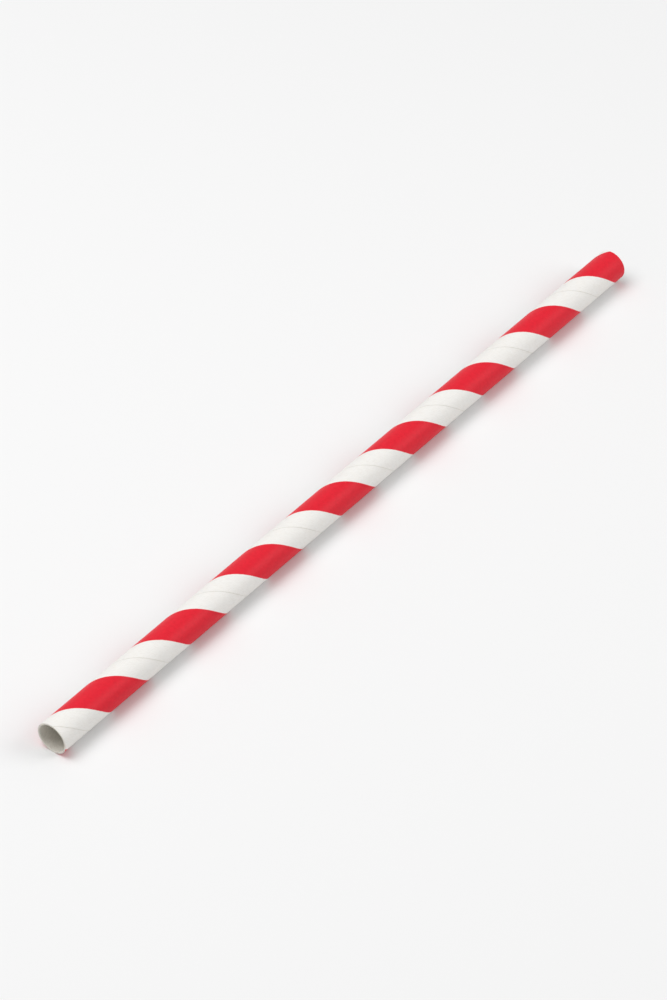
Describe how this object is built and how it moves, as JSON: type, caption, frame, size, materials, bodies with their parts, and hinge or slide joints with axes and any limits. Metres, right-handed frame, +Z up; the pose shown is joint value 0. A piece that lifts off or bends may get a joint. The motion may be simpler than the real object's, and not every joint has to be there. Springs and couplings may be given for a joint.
{
  "type": "paper drinking straw",
  "caption": "Straight spiral-wound paper drinking straw with square-cut open ends and a red helical stripe on white, lying on its side.",
  "frame": {"origin": "on the surface the straw lies on, under the middle of its length", "axes": "+X along the straw's axis, from the near end to the far end; +Z up from the surface it lies on"},
  "size_m": [0.21, 0.008, 0.008],
  "materials": {
    "printed_paper": "satin"
  },
  "bodies": {
    "root": {"straw": "printed_paper"}
  },
  "joints": []
}
